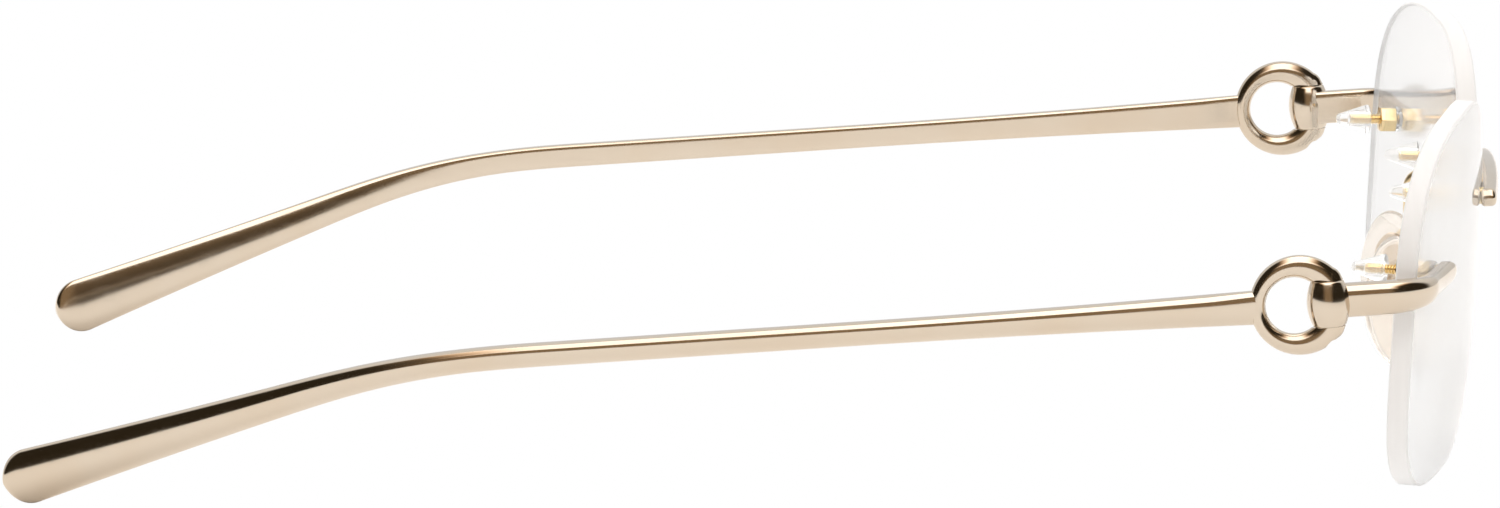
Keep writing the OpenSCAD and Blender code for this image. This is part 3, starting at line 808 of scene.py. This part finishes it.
def temple(g):
    """Arm, ring and knuckles in one piece, slotted for the barrel and bored for the screw."""
    hg = g.hinge
    at = moved(HINGE_X)
    half, slot_r = hg.barrel_h / 2 + hg.play, hg.barrel_d / 2 + hg.slot_gap
    slot = put(lathe([(0, half), (slot_r, half), (slot_r, -half), (0, -half)]), at)
    post = put(knuckles(g), at @ Matrix.Diagonal((hg.ring_t / hg.knuckle_d, 1, 1, 1)))
    made = combine(combine(ring_skin(g), post, "UNION"), slot, "DIFFERENCE")
    past = 1
    deep, high = half + hg.knuckle_h + past, half + hg.bite
    bore = cylinder(bmesh.new(), hg.screw_d + 4 * HAIR, high + deep, at @ moved(z=(high - deep) / 2))
    made = combine(made, bore, "DIFFERENCE")
    return combine(made, d_skin(64, arm_stations(g)), "UNION")


def bar_path(g):
    """Stations of the end piece: bar, bend and foot along the lens front to past the outer stud."""
    ep, fx = g.end_piece, g.fixing
    foot = stud_frame(g, "outer") @ Vector((0, 0, fx.shoulder_h - fx.spot_h + (1 - DOME) * ep.foot_t))
    run = (stud_frame(g, "outer", 1) @ Vector()) - (stud_frame(g, "outer", -1) @ Vector())
    slant = atan2(run.y, run.x)
    full = pi / 2 - slant
    bar_x = HINGE_X - ep.inset
    reach = (bar_x - ep.bend_r * (1 - cos(full)) - foot.x) / cos(slant)
    bar_y = foot.y + ep.bend_r * sin(full) + reach * sin(slant)
    start = g.hinge.barrel_end_d / 4
    straight, bend = -bar_y - start, ep.bend_r * full
    total = straight + bend + reach + ep.foot_over
    tip = ep.foot_h / 2
    stops = [straight * i / 12 for i in range(12)] + [straight + bend * i / 28 for i in range(28)]
    stops += [straight + bend + (total - straight - bend - tip) * i / 14 for i in range(14)]
    stops += [total - tip * (1 - sin(a)) for a in quarter(12)]
    made = []
    for s in stops:
        a = full * min(max((s - straight) / bend, 0), 1)
        on = max(s - straight - bend, 0)
        thin = ease((s - straight) / (bend + reach / 2))
        k = round_end(s, total, tip)
        at = Vector((
            bar_x - ep.bend_r * (1 - cos(a)) - on * cos(slant),
            max(-start - s, bar_y) - ep.bend_r * sin(a) - on * sin(slant),
            foot.z * thin,
        ))
        h = (ep.bar_h + (ep.foot_h - ep.bar_h) * thin) * k
        t = (ep.bar_t + (ep.foot_t - ep.bar_t) * thin) * k ** END_FADE
        made.append((moved(*at) @ about("Z", -a), h, t))
    return made


def barrel(g):
    """The barrel: bulged, with eased ends and a bore for the screw."""
    hg = g.hinge
    half, bulge = hg.barrel_h / 2, (hg.barrel_d - hg.barrel_end_d) / 2
    arc = (half ** 2 + bulge ** 2) / (2 * bulge)
    heights = [(half - EDGE) * (2 * i / 48 - 1) for i in range(49)]
    side = [(hg.barrel_d / 2 - arc + sqrt(arc ** 2 - z ** 2), z) for z in heights]
    end, bore = hg.barrel_end_d / 2 - EDGE, hg.screw_d / 2 + RUN_GAP
    return lathe([(bore, -half), (end, -half)] + side + [(end, half), (bore, half)], 160, loop=True)


def end_piece(g):
    """Bar, bend and foot in one piece with the barrel."""
    return combine(d_skin(56, bar_path(g)), put(barrel(g), moved(HINGE_X)), "UNION")


def bridge(g):
    """A bowed bar across both inner studs, rounded in front and flat behind."""
    br, fx = g.bridge, g.fixing
    end = stud_frame(g, "inner") @ Vector((0, 0, fx.shoulder_h - fx.spot_h + br.depth / 2))
    half, tip = end.x + br.over, br.height / 2
    flat = half - tip
    tips = [flat + tip * sin(a) for a in quarter(12, 1)]
    stops = [-x for x in reversed(tips)] + [flat * (2 * i / 60 - 1) for i in range(61)] + tips

    def place(turn, step):
        x = stops[step]
        rise = 1 - (x / end.x) ** 2
        k = round_end(abs(x), half, tip)
        heading = atan(2 * br.bow * x / end.x ** 2)
        c = cos(turn)
        front = k ** END_FADE * max(c, 0) ** OVAL
        back = BACK_DEPTH * k ** BACK_FADE * max(-c, 0) ** BACK_FLATNESS
        z = br.height / 2 * k * power(sin(turn), OVAL)
        at = Vector((x, end.y - br.bow * rise, end.z + br.arch * rise))
        return at + Matrix.Rotation(heading, 3, "Z") @ Vector((0, br.depth / 2 * (back - front), z))

    return skin(48, len(stops) - 1, place)


def lens(g):
    """A curved lens with a bevelled, ground edge, drilled for both bushes."""
    ln, rings, drill_l = g.lens, 18, 12
    rows = [(ln.bevel, i / rings, 0, 0) for i in range(rings + 1)]
    rows += [(0, 1, 0, -ln.bevel), (0, 1, 1, ln.bevel)]
    rows += [(ln.bevel, i / rings, 1, 0) for i in range(rings, -1, -1)]

    def place(turn, step):
        inset, share, back, shift = rows[step]
        c, s = cos(turn), sin(turn)
        n = ln.square_top if s >= 0 else ln.square_outer if c >= 0 else ln.square_inner
        u = (ln.width / 2 - inset) * power(c, 2 / n) * share
        v = (ln.height / 2 - inset) * power(s, 2 / n) * share
        r = ln.curve - ln.thickness * back
        return Vector((u, v, sqrt(r * r - u * u - v * v) - ln.curve + shift))

    made = skin(192, len(rows) - 1, place)
    into = lens_frame(g).inverted()
    for which in stud_places(g):
        drill = cylinder(bmesh.new(), g.fixing.bush_d + 2 * RUN_GAP, drill_l, into @ stud_frame(g, which))
        made = combine(made, drill, "DIFFERENCE")
    return made


def thread(outer, root, pitch, low, high):
    """A screw thread from low to high: a zigzag spun round Z while it climbs by one pitch a turn."""
    turns = int((high - low) / pitch)
    points = [(outer if i % 2 else root, low + i * pitch / 2) for i in range(2 * turns - 1)]
    return close(spin(points, 20, climb=pitch), 1e-3)


def stud(g, which):
    """A stud: spigot, shoulder, and a thread with a chamfered end."""
    fx = g.fixing
    end = -(stacks(g)[which] + fx.nut_h + fx.stud_past)
    root, sh, seat = fx.stud_d / 2 - fx.thread_h, fx.shoulder_d / 2, fx.shoulder_h
    core, spigot, under = root + 2 * HAIR, fx.spigot_d / 2, 2 * HAIR
    made = lathe([
        (0, seat + fx.spigot_l), (spigot, seat + fx.spigot_l), (spigot, seat), (sh - EDGE / 2, seat),
        (sh, seat - EDGE / 2), (sh, under), (core, under), (core, end + EDGE), (root - EDGE, end), (0, end),
    ], 40)
    return add(made, thread(fx.stud_d / 2 - HAIR, root, fx.pitch, end + 0.1, 0))


def bush(g):
    """A bush: thin sleeve through the lens with a flange behind it."""
    fx, soft = g.fixing, 0.05
    bore, r, fl = fx.stud_d / 2 + RUN_GAP / 2, fx.bush_d / 2, fx.flange_d / 2
    front, back = -g.lens.thickness - HAIR, -g.lens.thickness - fx.flange_t
    return lathe([
        (bore, 0), (r, 0), (r, front), (fl - soft, front), (fl, front - soft), (fl, back + soft),
        (fl - EDGE / 2, back), (bore, back),
    ], loop=True)


def nut(g):
    """A hexagon nut with softened corners and ends, one corner facing sideways."""
    sixth = pi / 6
    wide = g.fixing.nut_af / cos(sixth)
    return round_edges(cylinder(bmesh.new(), wide, g.fixing.nut_h, about("Z", sixth), 6))


def cap(g):
    """A clear bullet cap that points backwards, with a bore for the stud's end."""
    fx = g.fixing
    tip, wide = fx.cap_tip_d / 2, fx.cap_d / 2
    bore, deep = fx.stud_d / 2 + 2 * HAIR, fx.stud_past - fx.cap_gap + 0.05
    lip = [(wide - EDGE, 0), (wide - 0.03, 0.05), (wide, 0.2)]
    nose = [(tip * cos(a), fx.cap_l - tip + tip * sin(a)) for a in quarter(10)]
    return put(lathe([(0, deep), (bore, deep), (bore, 0)] + lip + nose, 56), about("X", pi))


def pad_wire(g):
    """Stations of the pad arm's wire: back from the eyelet, round a bend and down to the box."""
    pd = g.pad
    deep = pd.tab_w / 2 + pd.box_play
    wire_at = stud_frame(g, "inner", -pd.reach * cos(pd.fall), -pd.reach * sin(pd.fall))
    start = wire_at @ Vector((0, 0, -stacks(g)["outer"] - pd.eyelet_t / 2))
    end = box_frame(g) @ Vector((0, 0, -deep - pd.box_wall / 2))
    corner = start + Vector((0, pd.swing, 0))
    into, out = Vector((0, 1, 0)), (end - corner).normalized()
    full = into.angle(out)
    side = into.cross(out).normalized()
    inward = side.cross(into)
    bend_at = corner - pd.bend_r * tan(full / 2) * into
    made = [(start.lerp(bend_at, i / 4), into) for i in range(4)]
    for i in range(21):
        a = full * i / 20
        at = bend_at + pd.bend_r * (sin(a) * into + (1 - cos(a)) * inward)
        made.append((at, cos(a) * into + sin(a) * inward))
    made += [(made[-1][0].lerp(end, i / 6), out) for i in range(1, 7)]
    return made, side


def pad_arm(g):
    """Eyelet, wire and pad box in one piece."""
    pd = g.pad
    stations, side = pad_wire(g)

    def place(turn, step):
        at, heading = stations[step]
        return at + pd.wire_d / 2 * (cos(turn) * side + sin(turn) * heading.cross(side))

    wire = skin(24, len(stations) - 1, place)
    middle = moved(z=-stacks(g)["outer"] - pd.eyelet_t / 2)
    off = moved(-pd.reach * cos(pd.fall), -pd.reach * sin(pd.fall), 0)
    eyelet = cylinder(bmesh.new(), pd.eyelet_d, pd.eyelet_t, middle)
    eyelet = round_edges(hull(cylinder(eyelet, pd.eyelet_end_d, pd.eyelet_t, middle @ off, 32)))
    eyelet.transform(stud_frame(g, "inner"))

    inside, deep = pd.tab_t + 2 * pd.box_play, pd.tab_w / 2 + pd.box_play
    wide, low = inside + 2 * pd.box_wall, deep + pd.box_wall
    box = cylinder(bmesh.new(), pd.tab_w, wide, about("Y", pi / 2))
    box = round_edges(hull(block(box, (wide, pd.tab_w, low), -low / 2)))
    slot = block(bmesh.new(), (inside, 3 * pd.tab_w, 2 * pd.tab_w), pd.tab_w - deep)
    return add(add(wire, eyelet), put(combine(box, slot, "DIFFERENCE"), box_frame(g)))


def nose_pad(g):
    """A clear pad: egg outline, flat back with a rolled rim, and a domed face."""
    pd = g.pad
    sag, low, roll = pd.thickness - pd.rim_t, 0.5, 0.14
    flat = 1 - roll
    rows = [(i / 10 * flat, 0, 0) for i in range(11)]
    rows += [(flat + roll * sin(a), low * (1 - cos(a)), 0) for a in quarter(8, 1)]
    rows += [(flat + roll * cos(a), low, sin(a)) for a in quarter(8, 1)]
    rows += [(i / 10 * flat, low, 1) for i in range(9, -1, -1)]

    def place(turn, step):
        share, base, lift = rows[step]
        x = pd.width / 2 * sin(turn) * (1 - EGG_SHARE * cos(turn)) * share
        y = pd.height / 2 * cos(turn) * share
        face = pd.thickness - sag * (x * x + y * y) / (pd.height / 2) ** 2
        return Vector((x, y, base + (face - base) * lift))

    return put(skin(96, len(rows) - 1, place), pad_frame(g))


def screw(shank_d, head_d, head_h, length_mm, slot_w, slot_h):
    """A small slotted screw along Z: its head's face at z = 0 and its shank running down."""
    r, head, edge = shank_d / 2, head_d / 2, 0.1
    made = lathe([
        (0, 0), (head - edge, 0), (head - 0.02, -0.05), (head, -EDGE), (head, -head_h), (r, -head_h),
        (r, -length_mm + edge), (r - edge, -length_mm), (0, -length_mm),
    ], 40)
    return combine(made, block(bmesh.new(), (slot_w, 3 * head_d, 2 * slot_h), 0), "DIFFERENCE")


class EYEGLASSES_OT_lenses(Operator):
    """Make both lenses, with ground edges and drilled holes"""

    bl_idname = "eyeglasses.lenses"
    bl_label = "Lenses"

    def execute(self, context):
        g, look = sizes(context), materials(context)
        steepest = cos(radians(25))
        for side in SIDES:
            bm = lens(g)
            bm.normal_update()
            for f in bm.faces:
                f.material_index = int(abs(f.normal.z) < steepest)
            bm.transform(lens_frame(g))
            finish_side("lens", side, bm, look["clear lens"], look["ground lens edge"], slot="lens", sharp=20)
        return {"FINISHED"}


class EYEGLASSES_OT_temples(Operator):
    """Make both temples with their rings and knuckles, and the hinge screws"""

    bl_idname = "eyeglasses.temples"
    bl_label = "Temples"

    def execute(self, context):
        g, gold = sizes(context), materials(context)["polished pale gold"]
        hg = g.hinge
        half = hg.barrel_h / 2 + hg.play
        low = half + hg.knuckle_h
        for side in SIDES:
            body = f"temple_{side}"
            finish_side("temple", side, temple(g), gold, body=body)
            bm = screw(hg.screw_d, hg.screw_d, hg.plain, low + half + hg.bite, hg.slot_w, hg.slot_h)
            bm.transform(moved(HINGE_X, 0, -low) @ about("X", pi))
            finish_side("hinge_screw", side, bm, gold, body=body)
        return {"FINISHED"}


class EYEGLASSES_OT_front_metal(Operator):
    """Make the bridge and both end pieces with their barrels"""

    bl_idname = "eyeglasses.front_metal"
    bl_label = "Bridge and end pieces"

    def execute(self, context):
        g, gold = sizes(context), materials(context)["polished pale gold"]
        finish_piece("bridge_bar", "bridge", bridge(g), [gold])
        for side in SIDES:
            finish_side("end_piece", side, end_piece(g), gold)
        return {"FINISHED"}


class EYEGLASSES_OT_fixings(Operator):
    """Make the studs, bushes, nuts and caps that hold the lenses"""

    bl_idname = "eyeglasses.fixings"
    bl_label = "Lens fixings"

    def execute(self, context):
        g, look = sizes(context), materials(context)
        fx = g.fixing
        metal, clear = ("polished yellow gold", "pale_gold"), ("clear plastic", "clear_plastic")
        for side in SIDES:
            for which, stack in stacks(g).items():
                at = stud_frame(g, which)
                shapes = {
                    "stud": (stud(g, which), 0, metal),
                    "bush": (bush(g), 0, clear),
                    "nut": (nut(g), -stack - fx.nut_h / 2, metal),
                    "cap": (cap(g), -stack - fx.nut_h - fx.cap_gap, clear),
                }
                for kind, (bm, z, (finish, slot)) in shapes.items():
                    bm.transform(at @ moved(z=z))
                    finish_side(f"{which}_{kind}", side, bm, look[finish], slot=slot, sharp=30)
        return {"FINISHED"}


class EYEGLASSES_OT_nose_pads(Operator):
    """Make the nose pads, their arms and screws, and finish the cores inside them"""

    bl_idname = "eyeglasses.nose_pads"
    bl_label = "Nose pads"

    def execute(self, context):
        g, look = sizes(context), materials(context)
        pd, gold, clear = g.pad, look["polished pale gold"], look["clear pad"]
        wide = pd.tab_t + 2 * pd.box_play + 2 * pd.box_wall
        top = moved(wide / 2 + pd.head_h) @ about("Y", pi / 2)
        for side in SIDES:
            finish_side("pad_arm", side, pad_arm(g), look["satin gold"], sharp=20)
            bm = screw(pd.screw_d, pd.head_d, pd.head_h, wide + pd.head_h, pd.slot_w, pd.slot_h)
            bm.transform(box_frame(g) @ top)
            finish_side("pad_screw", side, bm, gold)
            body = f"nose_pad_{side}"
            pad = finish_side("nose_pad", side, nose_pad(g), clear, body=body, slot="pad", sharp=60)
            core = frame["nodes"][f"pad_core_{side}"]
            core.data.materials.clear()
            core.data.materials.append(gold)
        return {"FINISHED"}


class EYEGLASSES_OT_studio(Operator):
    """Make the pale floor, the soft light and the camera"""

    bl_idname = "eyeglasses.studio"
    bl_label = "Studio"

    def execute(self, context):
        scene, settings = context.scene, context.scene.eyeglasses
        self.make_floor(settings)
        self.make_light(scene, settings.studio)
        self.make_camera(scene, settings.studio)
        scene.view_settings.view_transform = "Standard"
        return {"FINISHED"}

    def make_floor(self, settings):
        """Makes a wide floor, white to straight rays and pale in reflections."""
        material, shader, flow, place = start_material("pale floor")
        tone, tint = noise(flow, place, 3), settings.finish.floor
        flow.feed(shader, {
            "Base Color": tone.mix(tint, darker(tint)),
            "Roughness": 0.7 + tone * 0.1,
            "Specular IOR Level": 0.1,
            "Emission Color": (*WHITE, 1),
            "Emission Strength": settings.studio.glow,
        })
        burnt_out = flow.node("ShaderNodeMixShader", {
            0: straight_ray(flow), 1: Flow(flow.tree, shader.outputs[0]), 2: flow.node("ShaderNodeEmission"),
        })
        flow.feed(flow.found("OUTPUT_MATERIAL"), {"Surface": burnt_out})
        bm = bmesh.new()
        at = moved(z=-FLOOR_DROP)
        bmesh.ops.create_circle(bm, cap_ends=True, segments=96, radius=FLOOR_R, matrix=at)
        floor = make_object("floor", bm, material)

    def make_light(self, scene, studio):
        """Makes the room, white to straight rays, and three soft panels."""
        scene.world = world = bpy.data.worlds.new("studio")
        world.use_nodes = True
        flow = Flow(world.node_tree)
        ray = flow.node("ShaderNodeTexCoord")
        x, y, z = (flow.node("ShaderNodeSeparateXYZ", {0: ray}, k) for k in range(3))
        side = y.math("ABSOLUTE", y).step(0.15, 0.55).mix(studio.under, studio.side)
        wall = z.step(0.1, 0.7).mix((studio.wall_low,) * 3, (studio.wall,) * 3)
        room = x.step(0.2, 0.5).mix(side, wall)
        flow.feed(flow.found("BACKGROUND"), {"Color": straight_ray(flow).mix(room, WHITE)})

        wide, tall = studio.panel_width, studio.panel_high - studio.panel_low
        deep = studio.panel_near + studio.panel_past
        beside = Vector((1, 0, 0)).to_track_quat("-Z", "Y")
        above = about("Z", pi / 2).to_quaternion()
        at = (-studio.panel_near, -studio.panel_ahead, studio.panel_low + tall / 2)
        self.add_panel("upright panel", at, beside, (wide, tall), studio.panel)
        at = (studio.panel_past - deep / 2, -studio.panel_ahead, studio.panel_high)
        overhead = self.add_panel("overhead panel", at, above, (wide, deep), studio.panel)
        at, size = (0, 0, studio.fill_high), (studio.fill_width,) * 2
        fill = self.add_panel("soft fill", at, above, size, studio.fill, 0.01)
        overhead.visible_diffuse = fill.visible_glossy = False

    def add_panel(self, name, at, turned, size, radiance, fade=0.35):
        """Adds a soft panel that the camera doesn't see: size across, where it fades out, then up or back."""
        light = bpy.data.lights.new(name, "AREA")
        light.shape = "RECTANGLE"
        light.size, light.size_y = size
        light.energy = PANEL_WATTS * size[0] * size[1] * radiance
        light.use_nodes = True
        flow = Flow(light.node_tree)
        spot = flow.node("ShaderNodeNewGeometry", out="Parametric")
        across = flow.node("ShaderNodeSeparateXYZ", {0: spot})
        strength = across.step(0, fade) * (1 - across).step(0, fade)
        flow.feed(flow.found("EMISSION"), {"Color": strength.mix(WARM, WHITE), "Strength": strength})
        panel = show(name, light)
        panel.location = at
        panel.rotation_mode = "QUATERNION"
        panel.rotation_quaternion = turned
        panel.visible_camera = False
        return panel

    def make_camera(self, scene, studio):
        """Makes the scene's camera."""
        scene.camera = camera = show("camera", bpy.data.cameras.new("camera"))
        camera.data.lens, camera.data.sensor_width, camera.data.clip_end = studio.lens, 36, 50
        turned = about("Z", studio.turn - pi / 2) @ about("X", pi / 2 - studio.elevation)
        back = about("Z", studio.roll) @ moved(z=studio.distance)
        camera.matrix_world = moved(*studio.target) @ turned @ back


OPERATORS = (
    EYEGLASSES_OT_lenses, EYEGLASSES_OT_temples, EYEGLASSES_OT_front_metal, EYEGLASSES_OT_fixings,
    EYEGLASSES_OT_nose_pads, EYEGLASSES_OT_studio,
)


class EYEGLASSES_PT_panel(Panel):
    """Lists the pieces and their sizes"""

    bl_idname = "EYEGLASSES_PT_panel"
    bl_label = "Rimless Eyeglasses"
    bl_space_type = "VIEW_3D"
    bl_region_type = "UI"
    bl_category = "Eyeglasses"

    def draw(self, context):
        settings = context.scene.eyeglasses
        for operator in OPERATORS:
            self.layout.operator(operator.bl_idname)
        for name in GROUPS:
            box, group = self.layout.box(), getattr(settings, name)
            box.label(text=title(name))
            for key in units(group):
                box.prop(group, key)


CLASSES = (*GROUPS.values(), EyeglassSettings, *OPERATORS, EYEGLASSES_PT_panel)


def register():
    """Registers the classes and the scene's settings."""
    for cls in CLASSES:
        bpy.utils.register_class(cls)
    bpy.types.Scene.eyeglasses = PointerProperty(type=EyeglassSettings)


def unregister():
    """Takes back what register() did."""
    del bpy.types.Scene.eyeglasses
    for cls in reversed(CLASSES):
        bpy.utils.unregister_class(cls)


def main():
    """Builds everything."""
    register()
    bpy.ops.eyeglasses.lenses()
    bpy.ops.eyeglasses.temples()
    bpy.ops.eyeglasses.front_metal()
    bpy.ops.eyeglasses.fixings()
    bpy.ops.eyeglasses.nose_pads()
    bpy.ops.eyeglasses.studio()


if __name__ == "__main__":
    main()
